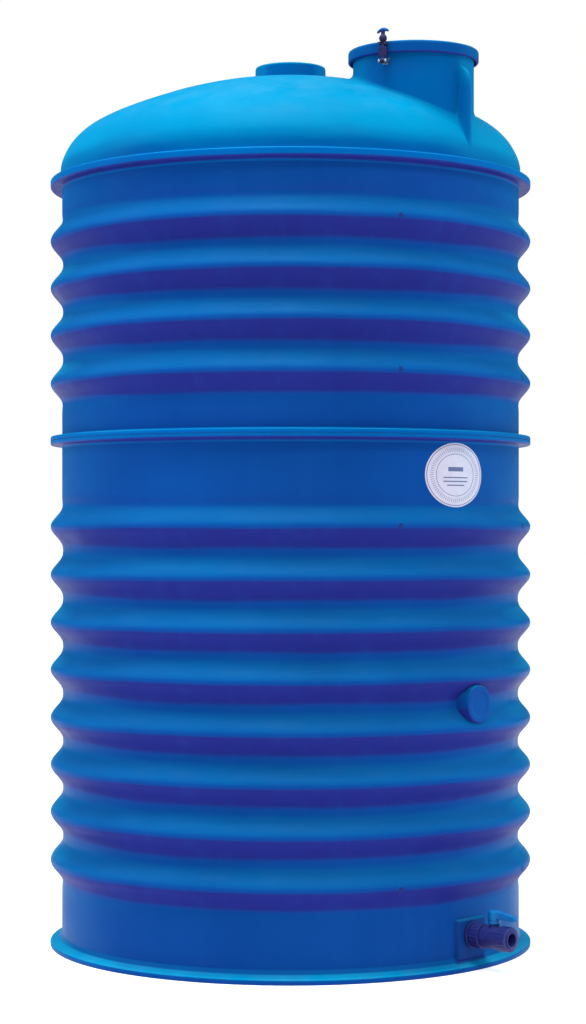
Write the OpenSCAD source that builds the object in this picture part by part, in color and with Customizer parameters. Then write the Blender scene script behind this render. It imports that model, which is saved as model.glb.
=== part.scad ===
// Upright ribbed water tank: ribbed shell in two courses, domed roof with an
// offset hatch, and a ball valve at the foot. Millimetres, +Z up, the base on
// z = 0, the tank's axis on the Z axis and every fitting towards -Y.

/* [Tank] */
// Radius at the rib crests and the flanges
tank_r = 800; // [600:5:1100]
// Outer radius of the plain wall between ribs
wall_r = 760; // [560:5:1060]
// Wall thickness
wall_t = 8; // [5:0.5:15]
// Width of one quarter of the wall, in degrees
quarter = 90; // [90]

/* [Ribs] */
// Distance from rib to rib
rib_pitch = 157.5; // [100:0.5:200]
// Height of the lowest rib's crest
lower_rib_z = 282; // [200:1:400]
// Ribs on the lower course
lower_ribs = 8; // [4:1:10]
// Height of the lowest crest on the upper course
upper_rib_z = 1858; // [1700:1:2000]
// Ribs on the upper course
upper_ribs = 4; // [2:1:6]
// Sharpness of a rib's crest
rib_power = 1.3; // [1:0.1:2]

/* [Courses and flanges] */
// Top of the foot flange, where the wall starts
foot_top = 31; // [20:1:60]
// Underside of the joint between the courses
joint_bottom = 1653; // [1500:1:1700]
// Line between the two joint flanges
joint_mid = 1668; // [1500:1:1750]
// Top of the joint between the courses
joint_top = 1683; // [1500:1:1750]
// Underside of the top flange
top_bottom = 2504; // [2300:1:2600]
// Top of the top flange, where the roof starts
top_top = 2531; // [2300:1:2650]

/* [Roof] */
// Radius of the moulded boss at the crown
crown_boss_r = 117; // [80:1:150]
// Top of the moulded boss at the crown
crown_boss_z = 2920; // [2880:1:2960]

/* [Hatch] */
// Distance of the hatch from the tank's axis
hatch_y = 534; // [400:1:600]
// Outer radius of the hatch neck
neck_r = 193; // [150:1:250]
// Top of the hatch neck
neck_top = 2885; // [2860:1:2900]
// Outer radius of the lid
lid_r = 208.5; // [170:0.5:270]
// Lower edge of the lid's skirt
lid_bottom = 2863; // [2850:1:2880]
// Top of the lid
lid_top = 2901; // [2890:1:2920]
// Direction of the latch from the neck's axis, in degrees from +X
latch_angle = -166; // [-180:1:180]
// Direction of the hinge from the neck's axis, in degrees from +X
hinge_angle = 14; // [-180:1:180]
// Distance of the hinge pin from the neck's axis
hinge_u = 224; // [215:0.5:240]
// Height of the hinge pin
hinge_z = 2860; // [2840:1:2880]
// Distance of the latch pin from the neck's axis
latch_u = 222; // [215:0.5:240]
// Height of the latch pin
latch_z = 2836; // [2820:1:2850]

/* [Side boss] */
// Height of the blank boss on the wall
side_boss_z = 830; // [700:1:900]
// Radius of the blank boss
side_boss_r = 58.5; // [40:0.5:80]
// Distance of its face from the tank's axis
side_boss_y = 803; // [780:1:820]

/* [Outlet] */
// Height of the outlet's axis
outlet_z = 108; // [80:1:150]
// Radius of the pipe socket
socket_r = 20; // [12.5:0.5:32]
// Radius of the water way
way_r = 17; // [10:0.5:28]
// Distance of the valve stem from the tank's axis
stem_y = 860; // [840:1:900]
// Distance of the outlet's mouth from the tank's axis
mouth_y = 929; // [900:1:960]

/* [Hidden] */
$fn = 240;
rib_d = tank_r - wall_r;
half = rib_pitch / 2;
steps = [-1, -0.8, -0.6, -0.4, -0.2, 0, 0.2, 0.4, 0.6, 0.8];
blue = [0.02, 0.33, 0.62];
lid_blue = [0.03, 0.36, 0.66];
indigo = [0.11, 0.10, 0.34];
black = [0.05, 0.05, 0.06];
zinc = [0.62, 0.64, 0.66];
dome = [[768, 2531], [764, 2584], [744, 2629], [720, 2665], [680, 2699], [624, 2729],
        [560, 2757], [480, 2787], [400, 2816], [280, 2844], [160, 2859], [0, 2866]];

// ---- profiles ----

function rib(t) = abs(t) >= half ? 0 : rib_d * pow((1 + cos(180 * t / half)) / 2, rib_power);

// heights at which a course's profile is drawn, from z0 to z1
function stations(z0, z1, first, n) =
    concat([z0], [for (k = [0 : n - 1]) for (s = steps) first + k * rib_pitch + s * half],
           [first + (n - 1) * rib_pitch + half, z1]);

// distance above the nearest crest, for one height
function bump(z, first, n) = let (k = max(0, min(n - 1, round((z - first) / rib_pitch)))) rib(z - first - k * rib_pitch);

function wall_points(z0, z1, first, n, grow) =
    [for (z = stations(z0, z1, first, n)) [wall_r + grow + bump(z, first, n), z]];

function flip(p) = [for (i = [len(p) - 1 : -1 : 0]) p[i]];

function inward(p, i, t) =
    let (a = p[max(0, i - 1)], b = p[min(len(p) - 1, i + 1)], d = b - a, l = norm(d))
    i == 0 ? [p[0][0] - t, p[0][1]] : (i == len(p) - 1 ? [0, p[i][1] - t] : [p[i][0] - t * d[1] / l, p[i][1] + t * d[0] / l]);

dome_in = [for (i = [0 : len(dome) - 1]) inward(dome, i, wall_t)];

// ---- shared shapes ----

// a quarter of a turned shape, centred on the direction a
module turned_quarter(a, points) {
    rotate([0, 0, a - quarter / 2]) rotate_extrude(angle = quarter) polygon(points);
}

module turned(points) {
    rotate_extrude() polygon(points);
}

module lower_quarter(a) {
    turned_quarter(a, concat(wall_points(foot_top, joint_bottom, lower_rib_z, lower_ribs, 0),
                             flip(wall_points(foot_top, joint_bottom, lower_rib_z, lower_ribs, -wall_t))));
}

module upper_quarter(a) {
    turned_quarter(a, concat(wall_points(joint_top, top_bottom, upper_rib_z, upper_ribs, 0),
                             flip(wall_points(joint_top, top_bottom, upper_rib_z, upper_ribs, -wall_t))));
}

module roof_quarter(a) {
    turned_quarter(a, concat(dome, flip(dome_in)));
}

// everything under the roof's outer face
module under_roof() {
    turned(concat([[0, 2400], [768, 2400]], dome));
}

// everything inside the lower wall's outer face
module inside_wall(z0, z1) {
    intersection() {
        turned(concat([[0, foot_top]], wall_points(foot_top, joint_bottom, lower_rib_z, lower_ribs, 0), [[0, joint_bottom]]));
        translate([-900, -900, z0]) cube([1800, 1800, z1 - z0]);
    }
}

// a round bar along -Y, from one distance to another
module along_y(r, y0, y1, z, sides = 240) {
    translate([0, -y0, z]) rotate([90, 0, 0]) cylinder(r = r, h = y1 - y0, $fn = sides);
}

// local frame of the neck: +X outwards, +Y along the rim
module at_neck(a) {
    translate([0, -hatch_y, 0]) rotate([0, 0, a]) children();
}

// a pin along the rim, in the neck's local frame
module rim_pin(u, z, r, w) {
    translate([u, w / 2, z]) rotate([90, 0, 0]) cylinder(r = r, h = w);
}

// ---- tank ----

module base_floor() {
    color(blue) cylinder(r = wall_r - wall_t, h = wall_t);
}

module base_flange() {
    color(blue) turned([[wall_r - wall_t, 0], [tank_r - 3, 0], [tank_r, 3], [tank_r, 12], [tank_r - 4, 15.5],
                        [tank_r - 12, 17], [tank_r - 24, 20], [tank_r - 34, 25], [wall_r, foot_top], [wall_r - wall_t, foot_top]]);
}

module lower_shell_front() {
    color(blue) difference() {
        lower_quarter(-90);
        along_y(25.5, 700, 800, outlet_z);
    }
}

module lower_shell_right() { color(blue) lower_quarter(0); }
module lower_shell_back() { color(blue) lower_quarter(90); }
module lower_shell_left() { color(blue) lower_quarter(180); }

module flange_ring(z0, z1, soft_low, soft_high) {
    color(blue) turned([[wall_r - wall_t, z0], [tank_r - soft_low, z0], [tank_r, z0 + soft_low],
                        [tank_r, z1 - soft_high], [tank_r - soft_high, z1], [wall_r - wall_t, z1]]);
}

module lower_joint_flange() { flange_ring(joint_bottom, joint_mid, 5, 1); }
module upper_joint_flange() { flange_ring(joint_mid, joint_top, 1, 5); }

module upper_shell_front() { color(blue) upper_quarter(-90); }
module upper_shell_right() { color(blue) upper_quarter(0); }
module upper_shell_back() { color(blue) upper_quarter(90); }
module upper_shell_left() { color(blue) upper_quarter(180); }

module roof_flange() { flange_ring(top_bottom, top_top, 5, 5); }

module roof_front() {
    color(blue) difference() {
        roof_quarter(-90);
        translate([0, -hatch_y, 2500]) cylinder(r = neck_r - wall_t, h = 500);
    }
}

module roof_right() { color(blue) roof_quarter(0); }
module roof_back() { color(blue) roof_quarter(90); }
module roof_left() { color(blue) roof_quarter(180); }

module crown_boss() {
    color(blue) difference() {
        turned([[0, 2800], [crown_boss_r, 2800], [crown_boss_r, crown_boss_z - 9], [crown_boss_r - 3, crown_boss_z - 3],
                [crown_boss_r - 9, crown_boss_z], [0, crown_boss_z]]);
        translate([0, 0, 2790]) cylinder(r = crown_boss_r - wall_t, h = crown_boss_z - wall_t - 2790);
        under_roof();
    }
}

// ---- hatch ----

module hatch_neck() {
    color(blue) difference() {
        translate([0, -hatch_y, 2560]) cylinder(r = neck_r, h = neck_top - 2560);
        translate([0, -hatch_y, 2500]) cylinder(r = neck_r - wall_t, h = 500);
        under_roof();
    }
}

module neck_gusset() {
    color(blue) difference() {
        translate([-18, 0, 0]) rotate([90, 0, 90]) linear_extrude(36)
            polygon([[-700, 2588], [-700, 2831], [-730, 2831], [-744, 2827], [-755, 2818], [-762, 2805], [-764, 2798], [-764, 2588]]);
        translate([0, -hatch_y, 2500]) cylinder(r = neck_r, h = 500);
        under_roof();
    }
}

module hatch_lid() {
    color(lid_blue) translate([0, -hatch_y, 0]) turned([
        [0, lid_top - 13], [150, lid_top - 13], [156, lid_top - 8], [lid_r - 8, lid_top - 8], [lid_r - 8, lid_bottom], [lid_r - 2, lid_bottom], [lid_r, lid_bottom + 2],
        [lid_r, lid_top - 10], [lid_r - 1.3, lid_top - 5], [lid_r - 5, lid_top - 1.3], [lid_r - 10, lid_top],
        [164, lid_top], [158, lid_top - 5], [0, lid_top - 5]]);
}

module lid_seal() {
    color(black) translate([0, -hatch_y, neck_top + 0.5]) difference() {
        cylinder(r = 197, h = lid_top - 8 - neck_top - 0.5);
        translate([0, 0, -1]) cylinder(r = 188, h = 30);
    }
}

module hinge_bracket() {
    color(black) at_neck(hinge_angle) difference() {
        union() {
            translate([180, -34, 2812]) cube([18, 68, 44]);
            for (v = [-30, 20]) translate([190, v, 0]) difference() {
                union() {
                    translate([0, 0, 2826]) cube([hinge_u - 190, 10, 30]);
                    translate([0, 0, 2826]) cube([hinge_u - 182, 10, 34]);
                    translate([hinge_u - 190, 10, hinge_z]) rotate([90, 0, 0]) cylinder(r = 8, h = 10);
                }
                translate([-10, -1, 2856]) cube([hinge_u - 190 + 2, 12, 20]);
            }
            for (v = [-30, 20]) translate([hinge_u, v + 10, hinge_z]) rotate([90, 0, 0]) cylinder(r = 8, h = 10);
        }
        translate([0, 0, 2700]) cylinder(r = neck_r, h = 300);
        rim_pin(hinge_u, hinge_z, 4, 80);
    }
}

module hinge_pin() {
    color(zinc) at_neck(hinge_angle) rim_pin(hinge_u, hinge_z, 4, 64);
}

module hinge_leaf() {
    color(lid_blue) at_neck(hinge_angle) difference() {
        union() {
            rim_pin(hinge_u, hinge_z, 9, 38);
            translate([200, -19, hinge_z + 3.5]) cube([hinge_u - 200, 38, 14]);
        }
        translate([0, 0, 2700]) cylinder(r = lid_r, h = 300);
        rim_pin(hinge_u, hinge_z, 4.05, 80);
    }
}

module latch_bracket() {
    color(zinc) at_neck(latch_angle) difference() {
        union() {
            translate([180, -13, 2826]) cube([18, 26, 24]);
            for (v = [-13, 8]) {
                translate([190, v, latch_z - 8]) cube([latch_u - 190, 5, 16]);
                translate([latch_u, v + 5, latch_z]) rotate([90, 0, 0]) cylinder(r = 8, h = 5);
            }
        }
        translate([0, 0, 2700]) cylinder(r = neck_r, h = 300);
        rim_pin(latch_u, latch_z, 3.5, 80);
    }
}

module latch_pin() {
    color(zinc) at_neck(latch_angle) rim_pin(latch_u, latch_z, 3.5, 30);
}

module latch_keeper() {
    color(black) at_neck(latch_angle) difference() {
        translate([200, -14, 2887]) cube([26, 28, 9]);
        translate([0, 0, 2700]) cylinder(r = lid_r, h = 300);
        translate([212, -7.5, 2880]) cube([30, 15, 30]);
    }
}

module latch_strap() {
    color(black) at_neck(latch_angle) difference() {
        union() {
            rim_pin(latch_u, latch_z, 8, 14);
            translate([214, -7, latch_z]) cube([10, 14, 2852 - latch_z]);
            translate([214, -13.5, 2850]) cube([10, 27, 32]);
            translate([214.5, -5.5, 2880]) cube([9, 11, 50]);
            translate([219, 0, 2907]) sphere(r = 13);
            translate([219, 13, 2933]) rotate([90, 0, 0]) cylinder(r = 7, h = 26);
            for (v = [-13, 13]) translate([219, v, 2933]) sphere(r = 7);
        }
        rim_pin(latch_u, latch_z, 3.55, 80);
    }
}

// ---- side boss and label ----

module side_boss() {
    color(blue) difference() {
        union() {
            along_y(side_boss_r, 740, side_boss_y - 3, side_boss_z);
            along_y(side_boss_r - 3, 740, side_boss_y, side_boss_z);
        }
        along_y(side_boss_r - wall_t, 700, side_boss_y - wall_t, side_boss_z);
        inside_wall(side_boss_z - 90, side_boss_z + 90);
    }
}

// a thin oval film that follows the wall and the foot of the topmost lower rib
module round_label() {
    top_crest = lower_rib_z + (lower_ribs - 1) * rib_pitch;
    heights = concat([for (s = steps) if (s > 0.5) top_crest + s * half], [top_crest + half, joint_bottom - 2]);
    outer = [for (z = heights) [wall_r + 1 + bump(z, lower_rib_z, lower_ribs), z]];
    inner = [for (z = heights) [wall_r + 0.1 + bump(z, lower_rib_z, lower_ribs), z]];
    color([0.90, 0.89, 0.95]) intersection() {
        rotate([0, 0, -114.9]) rotate_extrude(angle = 40) polygon(concat(outer, flip(inner)));
        rotate([0, 0, -4.9]) translate([0, -700, 1545]) rotate([90, 0, 0]) linear_extrude(200)
            polygon([for (i = [0 : 71]) [126.4 * cos(i * 5), 100 * sin(i * 5)]]);
    }
}

// ---- outlet and valve ----

module outlet_pad() {
    color(blue) difference() {
        intersection() {
            translate([0, 0, 31]) linear_extrude(128) polygon([[-67, -700], [-67, -764], [-61, -772], [61, -772], [67, -764], [67, -700]]);
            translate([-80, 0, 0]) rotate([90, 0, 90]) linear_extrude(160)
                polygon([[-700, 31], [-770, 31], [-772, 34], [-772, 153], [-764, 159], [-700, 159]]);
        }
        inside_wall(foot_top - 5, 190);
        along_y(25.5, 600, 900, outlet_z);
        turned([[0, 0], [tank_r, 0], [tank_r, 12], [tank_r - 4, 15.5], [tank_r - 12, 17], [tank_r - 24, 20], [tank_r - 34, 25], [wall_r, foot_top], [0, foot_top]]);
    }
}

module outlet_gasket() {
    color(black) difference() {
        along_y(40, 772, 774, outlet_z);
        along_y(25.5, 760, 790, outlet_z);
    }
}

module outlet_fitting() {
    color(indigo) difference() {
        union() {
            along_y(25, 722, 799, outlet_z);
            along_y(42, 774, 782, outlet_z);
            along_y(29.5, 790, 799.5, outlet_z);
        }
        along_y(way_r, 700, 820, outlet_z);
    }
}

module outlet_backnut() {
    color(indigo) difference() {
        along_y(38, 734, 750, outlet_z, 6);
        along_y(25.3, 700, 790, outlet_z);
    }
}

module inner_union_nut() {
    color(indigo) difference() {
        along_y(39.5, 784, 821, outlet_z);
        along_y(30, 770, 840, outlet_z);
    }
}

module valve_body() {
    color(indigo) difference() {
        union() {
            along_y(29.5, 800, 897, outlet_z);
            along_y(35, 822, 884, outlet_z);
            translate([0, -stem_y, outlet_z]) cylinder(r = 17, h = 40);
        }
        along_y(way_r, 780, 920, outlet_z);
        translate([0, -stem_y, outlet_z]) sphere(r = 28.6);
        translate([0, -stem_y, outlet_z]) cylinder(r = 8.1, h = 60);
    }
}

module outer_union_nut() {
    color(indigo) difference() {
        along_y(39, 885, 925, outlet_z);
        along_y(30, 870, 915, outlet_z);
        along_y(27.5, 870, 940, outlet_z);
    }
}

module end_connector() {
    color(indigo) difference() {
        union() {
            along_y(27, 898, mouth_y, outlet_z);
            along_y(29.5, 898, 903, outlet_z);
        }
        along_y(way_r, 890, 940, outlet_z);
        along_y(socket_r, mouth_y - 28, 940, outlet_z);
    }
}

module valve_ball() {
    color(zinc) difference() {
        translate([0, -stem_y, outlet_z]) sphere(r = 28);
        along_y(way_r, 800, 920, outlet_z);
        translate([-40, -stem_y - 40, outlet_z + 25]) cube([80, 80, 20]);
    }
}

module valve_stem() {
    color(indigo) translate([0, -stem_y, outlet_z + 25]) cylinder(r = 8, h = 45);
}

module valve_handle() {
    color([0.02, 0.42, 0.70]) difference() {
        union() {
            translate([0, -stem_y, 150]) cylinder(r = 20, h = 38);
            translate([0, -stem_y, 188]) cylinder(r1 = 20, r2 = 15, h = 5);
            difference() {
                translate([-10, 0, 0]) rotate([90, 0, 90]) linear_extrude(20)
                    polygon([[-860, 166], [-860, 190], [-884, 190], [-905, 186], [-925, 183], [-941, 181], [-947, 177], [-948, 172], [-945, 167], [-936, 164], [-915, 166], [-890, 168]]);
                for (s = [-1, 1]) translate([s * 14, -990, 100]) rotate([0, 0, s * 2.5]) translate([s > 0 ? 0 : -20, 0, 0]) cube([20, 100, 120]);
            }
        }
        translate([0, -stem_y, 140]) cylinder(r = 8, h = 38);
    }
}

base_floor();
base_flange();
lower_shell_front();
lower_shell_right();
lower_shell_back();
lower_shell_left();
lower_joint_flange();
upper_joint_flange();
upper_shell_front();
upper_shell_right();
upper_shell_back();
upper_shell_left();
roof_flange();
roof_front();
roof_right();
roof_back();
roof_left();
crown_boss();
hatch_neck();
neck_gusset();
side_boss();
outlet_pad();
outlet_gasket();
outlet_fitting();
outlet_backnut();
inner_union_nut();
valve_body();
outer_union_nut();
end_connector();
valve_ball();
valve_stem();
valve_handle();
hatch_lid();
lid_seal();
latch_keeper();
hinge_leaf();
hinge_bracket();
hinge_pin();
latch_bracket();
latch_pin();
latch_strap();
round_label();
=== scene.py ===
import math

import bmesh
import bpy
import numpy as np
from mathutils import Matrix, Vector


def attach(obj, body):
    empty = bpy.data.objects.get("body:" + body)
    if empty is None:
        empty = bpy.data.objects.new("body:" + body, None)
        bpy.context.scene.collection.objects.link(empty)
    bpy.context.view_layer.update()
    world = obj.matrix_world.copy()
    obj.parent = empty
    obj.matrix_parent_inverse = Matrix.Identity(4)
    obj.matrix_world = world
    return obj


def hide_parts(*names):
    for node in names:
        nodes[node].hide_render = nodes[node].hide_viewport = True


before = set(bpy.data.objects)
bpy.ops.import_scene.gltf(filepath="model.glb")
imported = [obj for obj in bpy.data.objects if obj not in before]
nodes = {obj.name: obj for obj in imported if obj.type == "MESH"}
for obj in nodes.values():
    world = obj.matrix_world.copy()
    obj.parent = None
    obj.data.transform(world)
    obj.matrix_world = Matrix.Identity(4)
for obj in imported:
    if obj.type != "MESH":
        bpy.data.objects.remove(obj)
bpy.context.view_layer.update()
scene = bpy.context.scene

# ------------------------------------------------------------------ camera
AZ = math.radians(47.4)
DIST = 7.96
cam_data = bpy.data.cameras.new("camera")
cam_data.sensor_width = 36.0
cam_data.lens = 83.53
cam_data.shift_x = 2.5 / 1024
cam_data.shift_y = 16.0 / 1024
cam_data.clip_end = 200.0
cam = bpy.data.objects.new("camera", cam_data)
cam.location = (-math.sin(AZ) * DIST, -math.cos(AZ) * DIST, 1.380)
cam.rotation_euler = (math.radians(90), 0, -AZ)
scene.collection.objects.link(cam)
scene.camera = cam
scene.view_settings.view_transform = "Standard"
scene.view_settings.look = "None"

RIGHT = Vector((math.cos(AZ), -math.sin(AZ), 0))
BACK = Vector((-math.sin(AZ), -math.cos(AZ), 0))

# ------------------------------------------------------------------ node helpers


def new_material(name):
    m = bpy.data.materials.new(name)
    m.use_nodes = True
    nt = m.node_tree
    nt.nodes.clear()
    out = nt.nodes.new("ShaderNodeOutputMaterial")
    b = nt.nodes.new("ShaderNodeBsdfPrincipled")
    nt.links.new(b.outputs["BSDF"], out.inputs["Surface"])
    return m, nt, b


def noise(nt, vec, scale, detail=3.0, rough=0.5, dist=0.0):
    n = nt.nodes.new("ShaderNodeTexNoise")
    n.inputs["Scale"].default_value = scale
    n.inputs["Detail"].default_value = detail
    n.inputs["Roughness"].default_value = rough
    n.inputs["Distortion"].default_value = dist
    nt.links.new(vec, n.inputs["Vector"])
    return n.outputs["Fac"]


def remap(nt, value, a0, a1, b0, b1):
    n = nt.nodes.new("ShaderNodeMapRange")
    n.clamp = True
    n.inputs["From Min"].default_value = a0
    n.inputs["From Max"].default_value = a1
    n.inputs["To Min"].default_value = b0
    n.inputs["To Max"].default_value = b1
    nt.links.new(value, n.inputs["Value"])
    return n.outputs["Result"]


def calc(nt, op, a, b=None):
    n = nt.nodes.new("ShaderNodeMath")
    n.operation = op
    for i, v in enumerate((a, b)):
        if v is None:
            continue
        if isinstance(v, (int, float)):
            n.inputs[i].default_value = v
        else:
            nt.links.new(v, n.inputs[i])
    return n.outputs[0]


def mix(nt, fac, a, b, mode="MIX"):
    n = nt.nodes.new("ShaderNodeMix")
    n.data_type = "RGBA"
    n.blend_type = mode
    n.clamp_result = True
    for key, v in ((0, fac), (6, a), (7, b)):
        if isinstance(v, (int, float)):
            n.inputs[key].default_value = v
        elif isinstance(v, tuple):
            n.inputs[key].default_value = v
        else:
            nt.links.new(v, n.inputs[key])
    return n.outputs[2]


def scaled(nt, vec, s):
    n = nt.nodes.new("ShaderNodeMapping")
    n.inputs["Scale"].default_value = s
    nt.links.new(vec, n.inputs["Vector"])
    return n.outputs["Vector"]


def ramp(nt, value, stops):
    n = nt.nodes.new("ShaderNodeValToRGB")
    cr = n.color_ramp
    cr.interpolation = "EASE"
    while len(cr.elements) > 1:
        cr.elements.remove(cr.elements[-1])
    cr.elements[0].position = stops[0][0]
    cr.elements[0].color = (*stops[0][1], 1)
    for p, c in stops[1:]:
        e = cr.elements.new(p)
        e.color = (*c, 1)
    nt.links.new(value, n.inputs["Fac"])
    return n.outputs["Color"]


def bumped(nt, b, layers):
    """layers: (height, strength, distance), stacked onto the surface normal."""
    last = None
    for height, strength, distance in layers:
        n = nt.nodes.new("ShaderNodeBump")
        n.inputs["Strength"].default_value = strength
        n.inputs["Distance"].default_value = distance
        nt.links.new(height, n.inputs["Height"])
        if last is not None:
            nt.links.new(last, n.inputs["Normal"])
        last = n.outputs["Normal"]
    nt.links.new(last, b.inputs["Normal"])


def lin(r, g, b):
    return tuple(((c / 255) / 12.92 if c / 255 <= 0.04045 else ((c / 255 + 0.055) / 1.055) ** 2.4) for c in (r, g, b))


def coords(nt):
    return nt.nodes.new("ShaderNodeTexCoord").outputs["Object"]


def moulded(name, under, side, top, rough=0.36, tint=(0.25, 0.7, 1.0), streaks=0.10, peel=0.05, wave=0.12, rise=((0.84, 0.18),), painted_flank_light=0.22):
    """Rotationally moulded polyethylene: a mottled body colour with light and shade painted in by the face's slope
    (lighter cyan on upward faces, violet-dark undersides, paler flanks), faint run marks, an uneven sheen and a
    slightly wavy skin."""
    m, nt, b = new_material(name)
    vec = coords(nt)
    geo = nt.nodes.new("ShaderNodeNewGeometry")
    sep = nt.nodes.new("ShaderNodeSeparateXYZ")
    nt.links.new(geo.outputs["Normal"], sep.inputs[0])
    # painted light and shade: the ramp below runs from a dark violet on downward faces to a light cyan on upward faces
    up = remap(nt, sep.outputs["Z"], -1, 1, 0, 1)
    # painted light: faces turned towards the two side lights are drawn paler than the front and the back
    dot = nt.nodes.new("ShaderNodeVectorMath")
    dot.operation = "DOT_PRODUCT"
    dot.inputs[1].default_value = tuple(RIGHT)
    nt.links.new(geo.outputs["Normal"], dot.inputs[0])
    up = calc(nt, "ADD", up, remap(nt, calc(nt, "ABSOLUTE", dot.outputs["Value"]), 0.62, 0.99, 0.0, painted_flank_light))
    # a little noise on the ramp's input makes the edges of the painted shade bands uneven
    up = calc(nt, "ADD", up, remap(nt, noise(nt, scaled(nt, vec, (1.5, 1.5, 6.0)), 1.0, 3.0, 0.5), 0.3, 0.7, -0.04, 0.04))
    stops = [(p, tuple((1 - k) * a + k * c for a, c in zip(side, top))) for p, k in rise]
    colour = ramp(nt, up, [(0.0, under), (0.30, under), (0.5, side)] + stops + [(1.0, top)])
    cloud = noise(nt, vec, 2.2, 5.0, 0.55, 0.4)
    mott = remap(nt, cloud, 0.3, 0.7, 0.0, 1.0)
    dark = mix(nt, 1.0, colour, (0.84, 0.87, 0.90, 1), "MULTIPLY")
    lite = mix(nt, 1.0, colour, (1.0, 1.07, 1.05, 1), "MULTIPLY")
    colour = mix(nt, mott, dark, lite)
    runs = noise(nt, scaled(nt, vec, (14.0, 14.0, 0.7)), 1.6, 4.0, 0.6)
    runs = remap(nt, runs, 0.48, 0.72, 0.0, streaks)
    colour = mix(nt, runs, colour, (*[min(1.0, c * 1.25 + 0.012) for c in side], 1))
    grit = remap(nt, noise(nt, vec, 420.0, 2.0, 0.7), 0.62, 0.78, 0.0, 0.10)
    colour = mix(nt, grit, colour, (*[min(1.0, c * 1.4 + 0.03) for c in side], 1))
    dust = calc(nt, "MULTIPLY", remap(nt, sep.outputs["Z"], 0.55, 1.0, 0.0, 0.05), remap(nt, noise(nt, vec, 9.0, 6.0, 0.7), 0.4, 0.65, 0, 1))
    colour = mix(nt, dust, colour, (0.45, 0.62, 0.72, 1))
    edge = remap(nt, geo.outputs["Pointiness"], 0.52, 0.60, 0.0, 0.20)
    colour = mix(nt, edge, colour, (*[min(1.0, c * 1.5 + 0.02) for c in side], 1))
    nt.links.new(colour, b.inputs["Base Color"])
    rr = calc(nt, "ADD", remap(nt, noise(nt, vec, 5.0, 6.0, 0.6), 0.3, 0.7, rough - 0.06, rough + 0.10), remap(nt, noise(nt, vec, 60.0, 3.0), 0.4, 0.7, 0.0, 0.05))
    nt.links.new(rr, b.inputs["Roughness"])
    b.inputs["Specular Tint"].default_value = (*tint, 1)
    b.inputs["Specular IOR Level"].default_value = 0.30
    b.inputs["IOR"].default_value = 1.14
    bumped(nt, b, [
        (noise(nt, scaled(nt, vec, (1.0, 1.0, 0.5)), 3.4, 3.0, 0.45), wave, 0.02),
        (noise(nt, vec, 130.0, 3.0, 0.6), peel, 0.0012),
        (noise(nt, vec, 900.0, 2.0, 0.5), peel * 0.6, 0.0003),
    ])
    return m


def plain_plastic(name, base, low, rough=0.42, tint=(0.6, 0.6, 1.0), spec=0.4, scale=1.0, metal=0.0):
    """Injection-moulded or rubber piece: painted light and shade by slope (the low colour on undersides, paler on top
    faces), fine texture, uneven sheen, paler rubbed edges.
    """
    m, nt, b = new_material(name)
    vec = coords(nt)
    geo = nt.nodes.new("ShaderNodeNewGeometry")
    sep = nt.nodes.new("ShaderNodeSeparateXYZ")
    nt.links.new(geo.outputs["Normal"], sep.inputs[0])
    # painted shade and light: darker on downward faces, lighter on upward faces
    colour = ramp(nt, remap(nt, sep.outputs["Z"], -1, 1, 0, 1), [(0.0, low), (0.35, low), (0.62, base), (1.0, tuple(min(1, c * 1.25 + 0.01) for c in base))])
    cloud = remap(nt, noise(nt, vec, 26.0 * scale, 5.0, 0.6), 0.35, 0.68, 0.0, 1.0)
    colour = mix(nt, cloud, mix(nt, 1.0, colour, (0.80, 0.80, 0.84, 1), "MULTIPLY"), colour)
    edge = remap(nt, geo.outputs["Pointiness"], 0.53, 0.64, 0.0, 0.30)
    colour = mix(nt, edge, colour, (*[min(1.0, c * 1.8 + 0.03) for c in base], 1))
    grit = remap(nt, noise(nt, vec, 700.0, 2.0, 0.7), 0.6, 0.78, 0.0, 0.14)
    colour = mix(nt, grit, colour, (*[min(1.0, c * 1.6 + 0.04) for c in base], 1))
    nt.links.new(colour, b.inputs["Base Color"])
    nt.links.new(remap(nt, noise(nt, vec, 40.0 * scale, 5.0, 0.6), 0.3, 0.7, rough - 0.08, rough + 0.12), b.inputs["Roughness"])
    b.inputs["Specular Tint"].default_value = (*tint, 1)
    b.inputs["Specular IOR Level"].default_value = spec
    b.inputs["Metallic"].default_value = metal
    bumped(nt, b, [(noise(nt, vec, 60.0, 3.0, 0.5), 0.08, 0.002), (noise(nt, vec, 1400.0, 2.0, 0.6), 0.10, 0.0002)])
    return m


# painted shade and light: colours for downward, upright and upward faces, standing in for the studio light
PAINTED_UNDER_SHADE = (0.019, 0.022, 0.205)
SIDE = (0.004, 0.062, 0.295)
PAINTED_TOP_LIGHT = (0.0, 0.380, 0.670)
shell_mat = moulded("blue_polyethylene", PAINTED_UNDER_SHADE, SIDE, PAINTED_TOP_LIGHT)
# the roof's copy of the blue, with its own painted light: paler upright faces and a broader light cyan over the dome
roof_mat = moulded("blue_polyethylene_roof", PAINTED_UNDER_SHADE, (0.0, 0.094, 0.31), (0.0, 0.255, 0.475), streaks=0.05, rise=((0.60, 0.45), (0.78, 0.92)), painted_flank_light=0.14)
# a paler copy of the blue: painted light on the joint flanges and the roof ring
flange_lit_mat = moulded("blue_polyethylene_flange_painted_light", PAINTED_UNDER_SHADE, (0.0, 0.105, 0.37), PAINTED_TOP_LIGHT, streaks=0.05)
# a darker copy of the blue: painted shade on the outlet pad
pad_shaded_mat = moulded("blue_polyethylene_pad_painted_shade", PAINTED_UNDER_SHADE, (0.006, 0.046, 0.225), (0.0, 0.25, 0.52), streaks=0.05, painted_flank_light=0.05)
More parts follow.
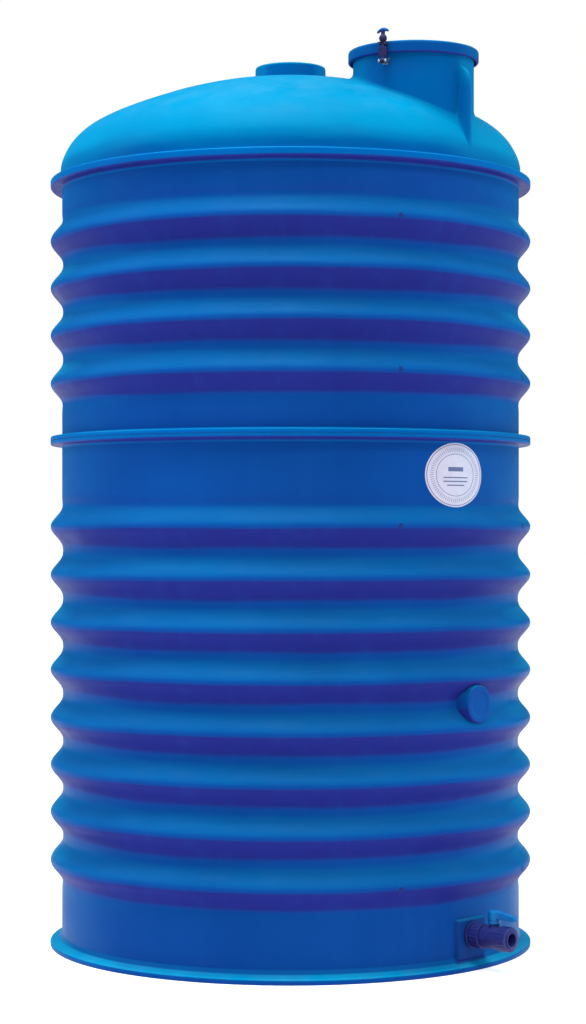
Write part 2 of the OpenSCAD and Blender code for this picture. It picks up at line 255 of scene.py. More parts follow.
# the lid's copy of the blue, darker on upright faces: painted shade
lid_mat = moulded("blue_lid_polyethylene", PAINTED_UNDER_SHADE, (0.002, 0.062, 0.25), PAINTED_TOP_LIGHT, rough=0.34, streaks=0.03, wave=0.05)
valve_mat = plain_plastic("indigo_pvc", (0.018, 0.026, 0.175), (0.014, 0.010, 0.095))
handle_mat = plain_plastic("blue_handle_plastic", (0.0, 0.19, 0.52), (0.0, 0.06, 0.26), rough=0.36, tint=(0.4, 0.8, 1.0))
rubber_mat = plain_plastic("dark_rubber", (0.020, 0.018, 0.075), (0.012, 0.006, 0.030), rough=0.55, spec=0.35)
grip_mat = plain_plastic("blue_rubber", (0.0, 0.10, 0.36), (0.008, 0.03, 0.16), rough=0.48, tint=(0.4, 0.7, 1.0))
bracket_mat = plain_plastic("dark_bracket", (0.018, 0.016, 0.060), (0.008, 0.006, 0.025), rough=0.45)
seal_mat = plain_plastic("black_seal", (0.012, 0.012, 0.018), (0.008, 0.008, 0.012), rough=0.6)
steel_mat = plain_plastic("zinc_steel", (0.52, 0.56, 0.60), (0.36, 0.40, 0.46), rough=0.32, tint=(1, 1, 1), spec=0.5, metal=1.0)
ball_mat = plain_plastic("grey_ball", (0.10, 0.11, 0.15), (0.05, 0.05, 0.09), rough=0.2, tint=(1, 1, 1), spec=0.5)

# ------------------------------------------------------------------ mesh helpers


def make(name, verts, faces, mat, body, angle=38.0, recalc=True, doubles=0.0):
    me = bpy.data.meshes.new(name)
    me.from_pydata([tuple(map(float, v)) for v in verts], [], [tuple(map(int, f)) for f in faces])
    bm = bmesh.new()
    bm.from_mesh(me)
    if doubles:
        bmesh.ops.remove_doubles(bm, verts=bm.verts, dist=doubles)
        bmesh.ops.dissolve_degenerate(bm, dist=doubles, edges=bm.edges)
    if recalc:
        bmesh.ops.recalc_face_normals(bm, faces=bm.faces)
    bm.to_mesh(me)
    bm.free()
    for p in me.polygons:
        p.use_smooth = True
    me.set_sharp_from_angle(angle=math.radians(angle))
    me.materials.append(mat)
    ob = bpy.data.objects.new(name, me)
    scene.collection.objects.link(ob)
    if body:
        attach(ob, body)
    return ob


def grid_faces(n, m, wrap_n=False, wrap_m=False):
    """Faces of an n by m grid of points, row by row."""
    f = []
    for i in range(n if wrap_n else n - 1):
        a, b = i * m, ((i + 1) % n) * m
        for j in range(m if wrap_m else m - 1):
            k = (j + 1) % m
            f.append((a + j, a + k, b + k, b + j))
    return f


def rounded(points, n=5):
    """Closed outline of (r, z, fillet radius) as a list of points, in mm."""
    out = []
    k = len(points)
    for i, (x, y, rad) in enumerate(points):
        p = np.array((x, y), float)
        if rad <= 0:
            out.append(tuple(p))
            continue
        a = np.array(points[i - 1][:2], float) - p
        b = np.array(points[(i + 1) % k][:2], float) - p
        la, lb = np.linalg.norm(a), np.linalg.norm(b)
        a, b = a / la, b / lb
        half = 0.5 * math.acos(max(-1, min(1, float(a @ b))))
        d = min(rad / math.tan(half), 0.49 * la, 0.49 * lb)
        for s in np.linspace(0, 1, n + 1):
            out.append(tuple(p + a * d * (1 - s) ** 2 + b * d * s**2))
    return out


def lathe(name, outline, mat, body, segs=288, place=None, angle=38.0, closed=True):
    """Turns an outline of (r, z) in mm about the Z axis, then places it with place(x, y, z) in mm."""
    ang = np.linspace(0, 2 * math.pi, segs, endpoint=False)
    o = np.array(outline, float)
    v = np.zeros((segs, len(o), 3))
    v[..., 0] = np.cos(ang)[:, None] * o[None, :, 0]
    v[..., 1] = np.sin(ang)[:, None] * o[None, :, 0]
    v[..., 2] = o[None, :, 1]
    v = v.reshape(-1, 3)
    if place is not None:
        v = place(v)
    return make(name, v / 1000, grid_faces(segs, len(o), True, closed), mat, body, angle, doubles=1e-6 if (o[:, 0] < 1e-6).any() else 0.0)


def along_y(z0):
    """Puts a turned piece's axis on -Y at a height, so its z is the distance from the tank's axis."""
    return lambda v: np.stack([v[:, 0], -v[:, 2], v[:, 1] + z0], 1)


def shifted(x, y, z=0):
    return lambda v: v + np.array((x, y, z), float)


def spline(points, per=8):
    """Catmull-Rom through points."""
    p = np.array(points, float)
    p = np.vstack([2 * p[0] - p[1], p, 2 * p[-1] - p[-2]])
    out = []
    for i in range(1, len(p) - 2):
        for t in np.linspace(0, 1, per, endpoint=False):
            a, b, c, d = p[i - 1], p[i], p[i + 1], p[i + 2]
            out.append(0.5 * (2 * b + (c - a) * t + (2 * a - 5 * b + 4 * c - d) * t**2 + (3 * b - a - 3 * c + d) * t**3))
    out.append(p[-2])
    return np.array(out)


def offset_path(path, d):
    t = np.gradient(path, axis=0)
    n = np.stack([t[:, 1], -t[:, 0]], 1)
    n /= np.linalg.norm(n, axis=1)[:, None]
    return path + n * d


def smooth_step(x, a, b):
    t = np.clip((x - a) / (b - a), 0, 1)
    return t * t * (3 - 2 * t)


def box_mesh(x0, x1, y0, y1, z0, z1):
    v = [(x, y, z) for x in (x0, x1) for y in (y0, y1) for z in (z0, z1)]
    f = [(0, 1, 3, 2), (4, 6, 7, 5), (0, 4, 5, 1), (2, 3, 7, 6), (0, 2, 6, 4), (1, 5, 7, 3)]
    return v, f


def melted(name, parts, voxel, mat, body, rounds=6, cut=None, place=None):
    """Joins closed solids into one skin with soft moulded corners: voxel remesh, then smoothing. Sizes in mm."""
    verts, faces = [], []
    for v, f in parts:
        k = len(verts)
        verts += [tuple(p) for p in v]
        faces += [tuple(i + k for i in q) for q in f]
    v = np.array(verts, float)
    if place is not None:
        v = place(v)
    ob = make(name, v / 1000, faces, mat, None, 60)
    m = ob.modifiers.new("remesh", "REMESH")
    m.mode = "VOXEL"
    m.voxel_size = voxel / 1000
    s = ob.modifiers.new("smooth", "SMOOTH")
    s.factor = 0.5
    s.iterations = rounds
    dg = bpy.context.evaluated_depsgraph_get()
    me = bpy.data.meshes.new_from_object(ob.evaluated_get(dg))
    old = ob.data
    ob.modifiers.clear()
    ob.data = me
    me.name = name
    bpy.data.meshes.remove(old)
    for p in me.polygons:
        p.use_smooth = True
    me.set_sharp_from_angle(angle=math.radians(60))
    if not me.materials:
        me.materials.append(mat)
    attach(ob, body)
    return ob


def turned_part(outline, segs=64, place=None):
    """Closed turned solid for melted()."""
    ang = np.linspace(0, 2 * math.pi, segs, endpoint=False)
    o = np.array(outline, float)
    v = [(math.cos(a) * r, math.sin(a) * r, z) for a in ang for r, z in o]
    v = np.array(v)
    if place is not None:
        v = place(v)
    return v, grid_faces(segs, len(o), True, True)


def rod_y(r, y0, y1, x=0.0, z=0.0, segs=48):
    """Solid round bar along Y for melted()."""
    return turned_part([(0.0, y0), (r, y0), (r, y1), (0.0, y1)], segs, lambda v: np.stack([v[:, 0] + x, v[:, 2], v[:, 1] + z], 1))


def ellipsoid(c, r, segs=32):
    t = np.linspace(0, math.pi, segs // 2)
    a = np.linspace(0, 2 * math.pi, segs, endpoint=False)
    v = [(c[0] + r[0] * math.sin(q) * math.cos(p), c[1] + r[1] * math.sin(q) * math.sin(p), c[2] + r[2] * math.cos(q)) for p in a for q in t]
    return np.array(v), grid_faces(segs, len(t), True, False)


# ------------------------------------------------------------------ tank shell
LOWER = [282, 441, 597, 752.5, 911, 1067.5, 1225.5, 1385]
UPPER = [1858, 2018, 2174, 2330]
WALL_T = 8.0


def wall_radius(z, crests):
    """Outer radius at heights z, in mm."""
    z = np.asarray(z, float)
    lo, hi = crests[0] - 78.8, crests[-1] + 78.8
    inside = smooth_step(z, lo - 20, lo + 30) * (1 - smooth_step(z, hi - 30, hi + 20))
    r = 761.5 - 3.0 * inside
    c = np.array(crests)
    for i, k in enumerate(c):
        below = (k - c[i - 1]) / 2 if i else 78.8
        above = (c[i + 1] - k) / 2 if i + 1 < len(c) else 78.8
        t = np.where(z < k, (z - k) / below, (z - k) / above)
        bump = np.where(np.abs(t) < 1, ((1 + np.cos(np.pi * np.clip(t, -1, 1))) / 2) ** 1.3, 0)
        r = r + (799.6 - r) * bump
    return r


def course(name, z0, z1, crests, replaced):
    zo = np.linspace(z0, z1, int((z1 - z0) / 7.6))
    zi = np.linspace(z1, z0, int((z1 - z0) / 19))
    outline = [(r, z) for r, z in zip(wall_radius(zo, crests), zo)] + [(r - WALL_T, z) for r, z in zip(wall_radius(zi, crests), zi)]
    ob = lathe(name, outline, shell_mat, "tank", segs=252)
    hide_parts(*replaced)
    return ob


course("lower_wall", 31, 1653, LOWER, ["lower_shell_front", "lower_shell_right", "lower_shell_back", "lower_shell_left"])
course("upper_wall", 1683, 2504, UPPER, ["upper_shell_front", "upper_shell_right", "upper_shell_back", "upper_shell_left"])

foot = lathe("foot_flange", rounded([
    (753, 0, 0), (800, 0, 3), (800, 14.5, 5), (786, 18, 8), (768, 27, 10), (761.6, 40, 8), (760.6, 52, 0), (753, 52, 0)], 5), shell_mat, "tank", segs=320)
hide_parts("base_flange")


def joint(name, z0, zm, z1, replaced, rt=9.0, segs=320):
    """Two flanges bolted face to face: rounded lips with a fine groove between them, soft corners to the wall."""
    ob = lathe(name, rounded([
        (753, z0 - 10, 0), (761.8, z0 - 10, 0), (762.5, z0, rt), (799.6, z0, 10), (799.8, zm - 1.2, 0.8), (797.6, zm - 0.4, 0), (797.6, zm + 0.4, 0),
        (799.8, zm + 1.2, 0.8), (799.6, z1, 10), (762.0, z1, rt), (761.0, z1 + 10, 0), (753, z1 + 10, 0)], 5), flange_lit_mat, "tank", segs=segs)
    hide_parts(*replaced)
    return ob


joint("joint_flanges", 1653, 1668, 1683, ["lower_joint_flange", "upper_joint_flange"])
ring = lathe("roof_ring", rounded([
    (753, 2494, 0), (761.8, 2494, 0), (762.5, 2504, 9), (799.8, 2504, 9), (799.8, 2531, 6), (768.4, 2531, 9), (767.4, 2541, 0), (753, 2541, 0)], 6), flange_lit_mat, "tank", segs=320)
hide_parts("roof_flange")

# ------------------------------------------------------------------ roof
DOME = [(768, 2531), (764, 2584), (745, 2629), (718, 2666), (678, 2700), (624, 2730), (560, 2758), (480, 2788), (400, 2815), (280, 2845), (160, 2861), (0, 2867)]
dome_path = spline(DOME, 8)
dome_path[-1] = (0, 2867)


def dome_z(r):
    """Height of the roof's outer face at radius r, in mm."""
    return np.interp(r, dome_path[::-1, 0], dome_path[::-1, 1])


inner_path = offset_path(dome_path, -WALL_T)
inner_path[:, 0] = np.clip(inner_path[:, 0], 0, None)
inner_path[-1] = (0, 2867 - WALL_T)
inner_path = inner_path[::2] if (len(inner_path) % 2) else inner_path
HY = 534.0
NR = 193.0

roof = lathe("roof_dome", [tuple(p) for p in dome_path] + [tuple(p) for p in inner_path[::-1]], roof_mat, "tank", segs=288, angle=50)
cutter = lathe("cutter", [(0, 2400), (NR - WALL_T + 0.3, 2400), (NR - WALL_T + 0.3, 3000), (0, 3000)], roof_mat, None, segs=180, place=shifted(0, -HY))
bo = roof.modifiers.new("hole", "BOOLEAN")
bo.operation = "DIFFERENCE"
bo.solver = "EXACT"
bo.object = cutter
dg = bpy.context.evaluated_depsgraph_get()
cut = bpy.data.meshes.new_from_object(roof.evaluated_get(dg))
roof.modifiers.clear()
roof.data = cut
for p in cut.polygons:
    p.use_smooth = True
cut.set_sharp_from_angle(angle=math.radians(50))
bpy.data.objects.remove(cutter)
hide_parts("roof_front", "roof_right", "roof_back", "roof_left")

# crown boss, with a soft foot
boss = lathe("crown_cap", rounded([
    (0, 2852, 0), (134, 2852, 0), (134, 2864.0, 0), (118.5, 2866.5, 12), (117, 2919.6, 8), (100, 2920, 0), (96, 2918.5, 0), (0, 2918.0, 0)], 6), roof_mat, "tank", segs=160)
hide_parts("crown_boss")

# neck, its soft foot on the roof, and the web on its outer side, as one skin
FIN = 37.0


def resample(pts, n):
    p = np.array(pts, float)
    d = np.concatenate([[0], np.cumsum(np.linalg.norm(np.diff(p, axis=0), axis=1))])
    s = np.linspace(0, d[-1], n)
    return np.stack([np.interp(s, d, p[:, 0]), np.interp(s, d, p[:, 1])], 1)


def neck_rows():
    near = np.concatenate([np.linspace(-44, 44, 59)]) / NR
    far = np.linspace(44 / NR, 2 * math.pi - 44 / NR, 112)[1:-1]
    rows = []
    K, M = 34, 10
    for th in np.concatenate([near, far]):
        dx, dy = math.sin(th), -math.cos(th)

        def on_dome(rho):
            return float(dome_z(math.hypot(dx * rho, -HY + dy * rho)))

        v = ((th + math.pi) % (2 * math.pi) - math.pi) * NR
        w = math.exp(-((v / 15.0) ** 4))
        f, g = 30.0, 26.0
        p0, p1, p2 = np.array((NR + f, on_dome(NR + f))), np.array((NR, on_dome(NR))), np.array((NR, on_dome(NR) + g))
        t = np.linspace(0, 1, 24)[:, None]
        plain = resample((1 - t) ** 2 * p0 + 2 * t * (1 - t) * p1 + t**2 * p2, K)
        if w > 0.002:
            foot_z = on_dome(NR + FIN)
            fin = resample(spline([(NR + FIN + 3, foot_z - 30), (NR + FIN + 0.5, foot_z + 20), (NR + FIN, 2700), (NR + FIN - 0.5, 2775), (NR + FIN - 3, 2800),
                                   (NR + FIN - 10, 2816), (NR + FIN - 22, 2826), (NR + 2, 2833), (NR, 2842)], 6), K)
            sec = plain * (1 - w) + fin * w
            top_z = p2[1] * (1 - w) + 2842 * w
        else:
            sec, top_z = plain, p2[1]
        wall = [(NR, z) for z in np.linspace(top_z, 2884, M)[1:]]
        inner = [(NR - 1, 2885), (NR - WALL_T + 1, 2885), (NR - WALL_T, 2884)]
        low = on_dome(NR - WALL_T) - 11
        inner += [(NR - WALL_T, z) for z in np.linspace(2884, low, 8)[1:]]
        start = [(sec[0][0], sec[0][1] - 5)]
        row = start + [tuple(p) for p in sec] + wall + inner
        rows.append([(dx * r, -HY + dy * r, z) for r, z in row])
    return np.array(rows)


rows = neck_rows()
neck = make("neck_skin", rows.reshape(-1, 3) / 1000, grid_faces(rows.shape[0], rows.shape[1], True, True), roof_mat, "tank", 48)
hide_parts("hatch_neck", "neck_gusset")

# ------------------------------------------------------------------ lid
lid = lathe("lid_skin", rounded([
    (0, 2888, 0), (150, 2888, 3), (156, 2893, 3), (198, 2893, 3), (200.5, 2889, 2), (200.6, 2863, 1.2), (206.5, 2863, 2), (208.4, 2867, 4), (208.4, 2900.8, 10),
    (176, 2900.9, 4), (170, 2896.5, 5), (60, 2897.5, 20), (46, 2900, 5), (0, 2900.3, 0)], 6), lid_mat, "lid", segs=220, place=shifted(0, -HY))
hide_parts("hatch_lid")

# ------------------------------------------------------------------ side boss
side = lathe("side_cap", rounded([
    (0, 745, 0), (58.4, 745, 0), (58.4, 803, 5), (40, 802.6, 4), (36, 801.6, 4), (0, 801.4, 0)], 6), shell_mat, "tank", segs=120, place=along_y(830))
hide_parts("side_boss")

# ------------------------------------------------------------------ outlet pad: a soft raised square on the wall
xs = np.linspace(-76, 76, 78)
zs = np.linspace(24, 166, 72)
front, rear = [], []
for z in zs:
    for x in xs:
        base = float(wall_radius(z, LOWER))
        if z < 40:
            base = max(base, 761.5 + 24 * (1 - smooth_step(z, 14, 40)))
        wall_y = math.sqrt(base**2 - x * x)
        s = float(smooth_step(76 - abs(x), 2, 12) * smooth_step(z, 24, 36) * smooth_step(166 - z, 3, 14))
        front.append((x, -(wall_y - 1.5 + s * (772.0 - wall_y + 1.5)), z))
        rear.append((x, -(wall_y - 5), z))
n, m = len(zs), len(xs)
faces = grid_faces(n, m)
k = n * m
faces += [tuple(k + i for i in reversed(f)) for f in grid_faces(n, m)]
ring = [j for j in range(m)] + [i * m + m - 1 for i in range(1, n)] + [(n - 1) * m + j for j in range(m - 2, -1, -1)] + [i * m for i in range(n - 2, 0, -1)]
faces += [(ring[i], ring[(i + 1) % len(ring)], k + ring[(i + 1) % len(ring)], k + ring[i]) for i in range(len(ring))]
pad = make("pad_skin", np.array(front + rear) / 1000, faces, pad_shaded_mat, "tank", 60)
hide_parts("outlet_pad")

# ------------------------------------------------------------------ valve
OZ = 108.0


def ribbed(name, y0, y1, r, r_in, ribs, depth, replaced, mat=valve_mat, face=2.5, lip=None):
    """Union nut: a ring with a grip of ribs along its length and plain rounded ends."""
    segs = ribs * 12
    ang = np.linspace(0, 2 * math.pi, segs, endpoint=False)
    wave = np.clip(np.cos(ang * ribs) * 1.6, -1, 1) * 0.5 + 0.5
    ys = [y0, y0 + 0.6, y0 + face, y0 + face + 2.5, y0 + face + 5, y1 - face - 5, y1 - face - 2.5, y1 - face, y1 - 0.6, y1]
    rr = [r - 3.0, r - 1.2, r - 0.4, r - 0.4, r, r, r - 0.4, r - 0.4, r - 1.2, r - 3.0]
    ww = [0, 0, 0, 0.2, 1, 1, 0.2, 0, 0, 0]
    pts = list(zip(rr, ys, ww))
    inner = lip if lip else [(r_in, y1), (r_in, y0)]
    cols = [(np.full(segs, a) - depth * w * (1 - wave), b) for a, b, w in pts] + [(np.full(segs, a), b) for a, b in inner]
    v = np.zeros((segs, len(cols), 3))
    for j, (rad, y) in enumerate(cols):
        v[:, j, 0] = np.cos(ang) * rad
        v[:, j, 1] = -y
        v[:, j, 2] = np.sin(ang) * rad + OZ
    ob = make(name, v.reshape(-1, 3) / 1000, grid_faces(segs, len(cols), True, True), mat, "tank", 42)
    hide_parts(replaced)
    return ob


ribbed("inner_nut_skin", 784, 821, 39.4, 30.2, 20, 1.5, "inner_union_nut")
ribbed("outer_nut_skin", 885, 925, 38.9, 27.6, 20, 1.4, "outer_union_nut", lip=[(27.6, 925), (27.6, 915), (30.2, 914.5), (30.2, 885)])

fitting = lathe("fitting_skin", rounded([
    (17, 722.3, 0), (24.9, 722.3, 1), (24.9, 774, 0), (42, 774, 1), (42, 782, 2.5), (31, 783.5, 1), (31, 790, 0.6), (29.4, 791, 0), (29.4, 799.4, 0.6), (17, 799.4, 0)], 4), valve_mat, "tank", segs=96, place=along_y(OZ))
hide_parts("outlet_fitting")
connector = lathe("connector_skin", rounded([
    (17, 898, 0), (29.4, 898, 0.6), (29.4, 903, 0.6), (27, 903.4, 0), (26.9, 929, 2), (21.2, 929, 1.2), (20, 927, 0.8), (20, 901, 0), (17, 900.6, 0)], 4), valve_mat, "tank", segs=96, place=along_y(OZ))
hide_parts("end_connector")

body_parts = [
    (lambda q: turned_part(q, 72, along_y(OZ)))([(18.5, 801), (29.2, 801), (29.2, 822), (34.0, 823), (34.7, 826), (34.7, 880), (34.0, 883), (29.2, 884), (29.2, 896), (18.5, 896)]),
    turned_part([(0, 118), (19, 118), (19, 136), (16.9, 139), (16.9, 147.6), (9, 147.6), (9, 136), (0, 136)], 48, shifted(0, -860)),
]
body = melted("body_skin", body_parts, 1.2, valve_mat, "tank", rounds=2)
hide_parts("valve_body")

# lever: a waisted hub with a flat arm, slightly dished underneath
arm = []
outline = [(-14, -870), (-10.5, -884), (-9.6, -905), (-9.2, -930), (-8.2, -941), (-5.0, -946.5), (0, -947.6)]
outline = outline + [(-x, y) for x, y in outline[-2::-1]]


def arm_top(y):
    return float(np.interp(-y, [840, 872, 884, 905, 925, 941, 948], [191.5, 191, 189.6, 186, 183, 180.5, 176]))


def arm_low(y):
    return float(np.interp(-y, [840, 884, 905, 925, 941, 948], [168, 168.5, 167, 165, 164.5, 169]))


av = [(x, y, arm_top(y)) for x, y in outline] + [(x, y, arm_low(y)) for x, y in outline]
na = len(outline)
af = [tuple(range(na)), tuple(range(2 * na - 1, na - 1, -1))] + [(i, (i + 1) % na, na + (i + 1) % na, na + i) for i in range(na)]
hub = turned_part([(0, 150.3), (18.2, 150.3), (19.2, 153), (19.2, 160), (20, 166), (20, 186), (17.5, 191), (12, 192.8), (0, 193)], 48, shifted(0, -860))
lever = melted("lever_skin", [hub, (av, af)], 1.1, handle_mat, "valve", rounds=4)
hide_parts("valve_handle")

# ------------------------------------------------------------------ latch
LA = math.radians(-166)


def at_latch(v):
    c, s = math.cos(LA), math.sin(LA)
    return np.stack([v[:, 0] * c - v[:, 1] * s, -HY + v[:, 0] * s + v[:, 1] * c, v[:, 2]], 1)


def handle_bar():
    """Arched bar of the T-handle, thick in the middle and drooping at its ends."""
    vs = np.linspace(-19.6, 19.6, 33)
    a = np.linspace(0, 2 * math.pi, 20, endpoint=False)
    out = []
    for q in vs:
        k = math.sqrt(max(0.0, 1 - (q / 20.0) ** 2))
        rz, ru = 1.0 + 5.0 * k**0.8, 1.5 + 5.3 * k**0.6
        zc = 2933.6 - 7.2 * (q / 20.0) ** 2 + 0.09 * q
        out += [(219 + ru * math.cos(t), q, zc + rz * math.sin(t)) for t in a]
    v = np.array(out)
    f = grid_faces(len(vs), len(a), False, True)
    f += [tuple(range(len(a))), tuple(range(len(v) - 1, len(v) - 1 - len(a), -1))]
    return v, f


strap_parts = [
    box_mesh(214.3, 223.7, -13.4, 13.4, 2850.5, 2881.5),
    box_mesh(214.6, 223.4, -7, 7, 2836, 2853),
    box_mesh(214.8, 223.2, -5.5, 5.5, 2878, 2932),
    ellipsoid((219, 0, 2906.5), (12.2, 12.6, 12.8)),
    rod_y(6.8, -7, 7, 222, 2836.6),
]
strap = melted("strap_skin", strap_parts, 0.9, rubber_mat, "latch", rounds=3, place=at_latch)
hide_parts("latch_strap")
anchor_parts = [box_mesh(193.3, 196, -12.6, 12.6, 2829, 2849)]
for v0 in (-12.8, 9.8):
    anchor_parts.append(box_mesh(194, 222, v0, v0 + 3.0, 2830, 2842))
    anchor_parts.append(rod_y(6.6, v0, v0 + 3.0, 222, 2836))
anchor = melted("anchor_skin", anchor_parts, 0.7, steel_mat, "tank", rounds=1, place=at_latch)
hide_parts("latch_bracket")
grip = melted("grip_skin", [handle_bar(), box_mesh(215.2, 222.8, -4.6, 4.6, 2921, 2934)], 0.9, grip_mat, "latch", rounds=3, place=at_latch)

# ------------------------------------------------------------------ dimples on the crests
# painted shade: the dark colour stands in for the shade inside a real hollow
dimple_shade_mat = plain_plastic("dimple_painted_shade", (0.006, 0.012, 0.120), (0.004, 0.008, 0.08), rough=0.6)


def dimples(name, z, crests):
    """Shallow pressed dimples, four round a crest: a soft raised lip in the shell's colour and a nearly flush floor
    painted dark as the shade in the hollow.
    """
    for part, rings, mat in (
        ("lip", [(1.50, -0.1), (1.28, 0.7), (1.14, 1.15), (1.02, 0.95), (0.93, 0.2)], shell_mat),
        ("floor", [(0.96, 0.3), (0.7, 0.22), (0.4, 0.18), (0.01, 0.16)], dimple_shade_mat),
    ):
        verts, faces = [], []
        for deg in (-112.5, -67.5, 67.5, 112.5):
            a0 = math.radians(deg)
            base = len(verts)
            for f, h in rings:
                for t in np.linspace(0, 2 * math.pi, 24, endpoint=False):
                    du, dz = 8.4 * f * math.cos(t), 8.4 * f * math.sin(t)
                    rr = min(800.0, float(wall_radius(z + dz, crests)) - 0.35 + h)
                    a = a0 + du / rr
                    verts.append((rr * math.cos(a), rr * math.sin(a), z + dz))
            faces += [tuple(base + i for i in fc) for fc in grid_faces(len(rings), 24, False, True)]
        ob = make(f"{name}_{part}", np.array(verts) / 1000, faces, mat, "tank", 60, recalc=False)


for i, z in enumerate((278, 1387)):
    dimples(f"lower_dimple_{i + 1}", z, LOWER)
for i, z in enumerate((1865, 2333)):
    dimples(f"upper_dimple_{i + 1}", z, UPPER)

# ------------------------------------------------------------------ oval label: generic rings, ticks and bars, no print
label_mat, nt, b = new_material("white_label_film")
vec = coords(nt)
sep = nt.nodes.new("ShaderNodeSeparateXYZ")
nt.links.new(vec, sep.inputs[0])
LAB_A, LAB_Z, LAB_W, LAB_H = math.radians(-4.9), 1.545, 0.127, 0.100
# distance round the wall from the label's middle, drawn in so that the oval's edge is a circle, and height above it
ang = calc(nt, "ARCTAN2", sep.outputs["X"], calc(nt, "MULTIPLY", sep.outputs["Y"], -1.0))
lx = calc(nt, "MULTIPLY", calc(nt, "SUBTRACT", ang, LAB_A), 0.762 * LAB_H / LAB_W)
lz = calc(nt, "SUBTRACT", sep.outputs["Z"], LAB_Z)
rad = calc(nt, "SQRT", calc(nt, "ADD", calc(nt, "MULTIPLY", lx, lx), calc(nt, "MULTIPLY", lz, lz)))


def band(value, centre, half):
    """1 within half of centre, else 0, with a soft edge."""
    d = calc(nt, "ABSOLUTE", calc(nt, "SUBTRACT", value, centre))
    return remap(nt, d, half, half + 0.0006, 1.0, 0.0)


ink = band(rad, 0.0950, 0.0008)
ink = calc(nt, "MAXIMUM", ink, band(rad, 0.0655, 0.0006))
theta = calc(nt, "ARCTAN2", lz, lx)
tick = calc(nt, "ABSOLUTE", calc(nt, "SINE", calc(nt, "MULTIPLY", theta, 36.0)))
tick = remap(nt, tick, 0.35, 0.50, 1.0, 0.0)
tick = calc(nt, "MULTIPLY", tick, band(rad, 0.079, 0.0055))
ink = calc(nt, "MAXIMUM", ink, calc(nt, "MULTIPLY", tick, 0.8))
for z0, half, wide in ((0.018, 0.0065, 0.026), (-0.008, 0.0016, 0.042), (-0.020, 0.0016, 0.042), (-0.032, 0.0016, 0.030)):
    inside = remap(nt, calc(nt, "ABSOLUTE", lx), wide, wide + 0.0008, 1.0, 0.0)
    ink = calc(nt, "MAXIMUM", ink, calc(nt, "MULTIPLY", band(lz, z0, half), inside))
paper = mix(nt, remap(nt, noise(nt, vec, 40.0, 4.0, 0.6), 0.35, 0.7, 0, 1), (*lin(203, 190, 208), 1), (*lin(213, 200, 217), 1))
ink_soft = calc(nt, "MULTIPLY", ink, remap(nt, noise(nt, vec, 300.0, 3.0, 0.6), 0.3, 0.6, 0.75, 0.95))
nt.links.new(mix(nt, ink_soft, paper, (*lin(52, 58, 120), 1)), b.inputs["Base Color"])
nt.links.new(remap(nt, noise(nt, vec, 30.0, 4.0, 0.6), 0.3, 0.7, 0.28, 0.42), b.inputs["Roughness"])
bumped(nt, b, [(noise(nt, vec, 24.0, 3.0, 0.5), 0.10, 0.002), (noise(nt, vec, 900.0, 2.0, 0.5), 0.05, 0.0002)])

rr_ = np.concatenate([np.linspace(0, 0.94, 18), [0.97, 0.985, 1.0, 1.003]])
lv = []
for t in np.linspace(0, 2 * math.pi, 144, endpoint=False):
    for j, q in enumerate(rr_):
        a = LAB_A + LAB_W * q * math.cos(t) / 0.762
        z = LAB_Z + LAB_H * q * math.sin(t)
        h = float(wall_radius(z * 1000, LOWER)) / 1000 + (0.0009 if j < len(rr_) - 1 else 0.0001)
        lv.append((math.sin(a) * h, -math.cos(a) * h, z))
label = make("label_film", lv, grid_faces(144, len(rr_), True, False), label_mat, "tank", 60, recalc=False, doubles=1e-6)
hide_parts("round_label")

# ------------------------------------------------------------------ finishes of the CAD nodes that stay
keep = {
    "base_floor": shell_mat, "outlet_gasket": seal_mat, "outlet_backnut": valve_mat, "valve_ball": ball_mat, "valve_stem": valve_mat,
    "lid_seal": seal_mat, "latch_keeper": bracket_mat, "hinge_leaf": lid_mat, "hinge_bracket": bracket_mat, "hinge_pin": steel_mat,
    "latch_pin": steel_mat,
}
for key, mat in keep.items():
    o = nodes[key]
    if not o.material_slots:
        o.data.materials.append(mat)
    for sl in o.material_slots:
        sl.material = mat
    if key in ("latch_keeper", "hinge_leaf", "hinge_bracket", "outlet_backnut"):
        bv = o.modifiers.new("soft_edges", "BEVEL")
        bv.width = 0.0012
        bv.segments = 3
        bv.limit_method = "ANGLE"
        bv.angle_limit = math.radians(40)

# ------------------------------------------------------------------ floor, world, lights
floor_mat, nt, b = new_material("pale_floor")
vec = coords(nt)
nt.links.new(mix(nt, remap(nt, noise(nt, vec, 3.0, 4.0), 0.3, 0.7, 0, 1), (0.78, 0.79, 0.80, 1), (0.81, 0.81, 0.82, 1)), b.inputs["Base Color"])
b.inputs["Roughness"].default_value = 0.8
b.inputs["Specular IOR Level"].default_value = 0.2
b.inputs["Emission Color"].default_value = (1.0, 1.0, 1.0, 1)
b.inputs["Emission Strength"].default_value = 0.68
me = bpy.data.meshes.new("floor")
S = 90.0
me.from_pydata([(-S, -S, 0), (S, -S, 0), (S, S, 0), (-S, S, 0)], [], [(0, 1, 2, 3)])
me.materials.append(floor_mat)
floor = bpy.data.objects.new("floor", me)
scene.collection.objects.link(floor)

world = bpy.data.worlds.new("studio")
scene.world = world
world.use_nodes = True
nt = world.node_tree
nt.nodes.clear()
out = nt.nodes.new("ShaderNodeOutputWorld")
bg = nt.nodes.new("ShaderNodeBackground")
seen = nt.nodes.new("ShaderNodeBackground")
seen.inputs["Color"].default_value = (1.0, 1.0, 1.0, 1)
seen.inputs["Strength"].default_value = 1.0
path = nt.nodes.new("ShaderNodeLightPath")
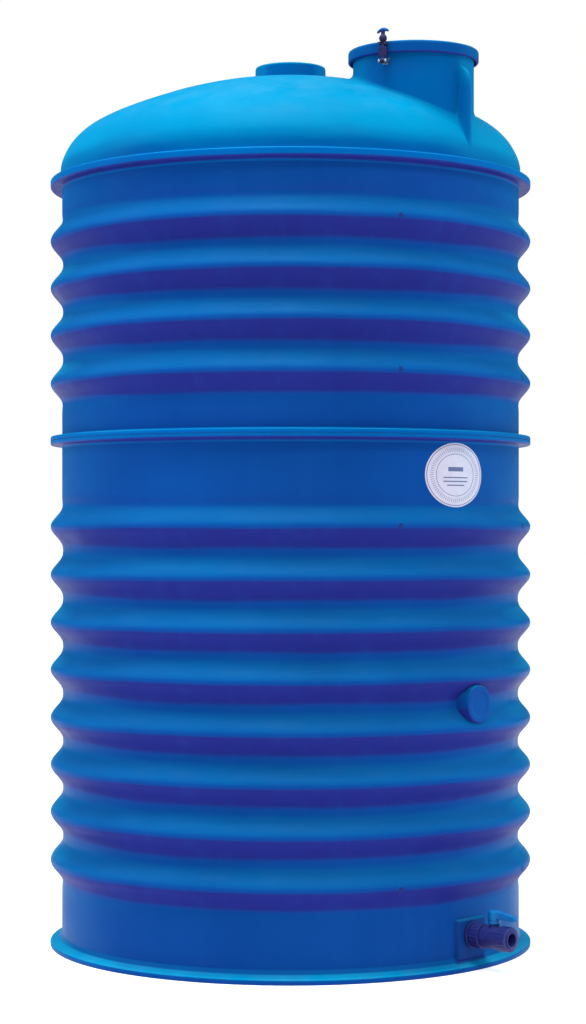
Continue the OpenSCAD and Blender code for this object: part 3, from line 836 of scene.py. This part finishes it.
# reflections see a bluer studio than the surfaces are lit by
sheen = nt.nodes.new("ShaderNodeBackground")
sheen.inputs["Color"].default_value = (0.10, 0.52, 0.90, 1)
sheen.inputs["Strength"].default_value = 0.55
part = nt.nodes.new("ShaderNodeMixShader")
nt.links.new(path.outputs["Is Glossy Ray"], part.inputs[0])
nt.links.new(bg.outputs[0], part.inputs[1])
nt.links.new(sheen.outputs[0], part.inputs[2])
pick = nt.nodes.new("ShaderNodeMixShader")
nt.links.new(path.outputs["Is Camera Ray"], pick.inputs[0])
nt.links.new(part.outputs[0], pick.inputs[1])
nt.links.new(seen.outputs[0], pick.inputs[2])
nt.links.new(pick.outputs[0], out.inputs["Surface"])
tc = nt.nodes.new("ShaderNodeTexCoord")
dot = nt.nodes.new("ShaderNodeVectorMath")
dot.operation = "DOT_PRODUCT"
dot.inputs[1].default_value = tuple(RIGHT)
nt.links.new(tc.outputs["Generated"], dot.inputs[0])
sp = nt.nodes.new("ShaderNodeSeparateXYZ")
nt.links.new(tc.outputs["Generated"], sp.inputs[0])
sides = remap(nt, calc(nt, "ABSOLUTE", dot.outputs["Value"]), 0.55, 1.0, 0.0, 1.0)
high = remap(nt, sp.outputs["Z"], -0.05, 0.7, 0.0, 1.0)
level = calc(nt, "ADD", calc(nt, "ADD", calc(nt, "MULTIPLY", sides, 0.30), calc(nt, "MULTIPLY", high, 0.40)), 0.16)
nt.links.new(mix(nt, sides, (0.93, 0.97, 1.0, 1), (0.30, 0.80, 1.0, 1)), bg.inputs["Color"])
nt.links.new(level, bg.inputs["Strength"])


def area(name, azimuth, elevation, distance, size, power, colour=(1, 1, 1), aim=(0, 0, 1.5), size_y=None):
    """Soft box at an azimuth measured from the camera, positive to its right."""
    d = bpy.data.lights.new(name, "AREA")
    d.shape = "RECTANGLE"
    d.size = size
    d.size_y = size_y or size
    d.energy = power
    d.color = colour
    o = bpy.data.objects.new(name, d)
    a, e = math.radians(azimuth), math.radians(elevation)
    pos = Vector(aim) + (BACK * math.cos(a) + RIGHT * math.sin(a)) * math.cos(e) * distance + Vector((0, 0, math.sin(e) * distance))
    o.location = pos
    o.rotation_euler = (Vector(aim) - pos).to_track_quat("-Z", "Y").to_euler()
    scene.collection.objects.link(o)
    return o


area("overhead", -20, 72, 6.0, 3.2, 330, aim=(0, 0, 2.0))
area("key", 30, 42, 8.0, 1.6, 150, aim=(0, 0, 1.6))
area("left_box", -84, 27, 6.0, 1.6, 125, (0.35, 0.86, 1.0), size_y=4.0, aim=(0, 0, 1.5))
area("right_box", 92, 14, 6.0, 1.4, 56, (0.35, 0.86, 1.0), size_y=4.0, aim=(0, 0, 1.5))
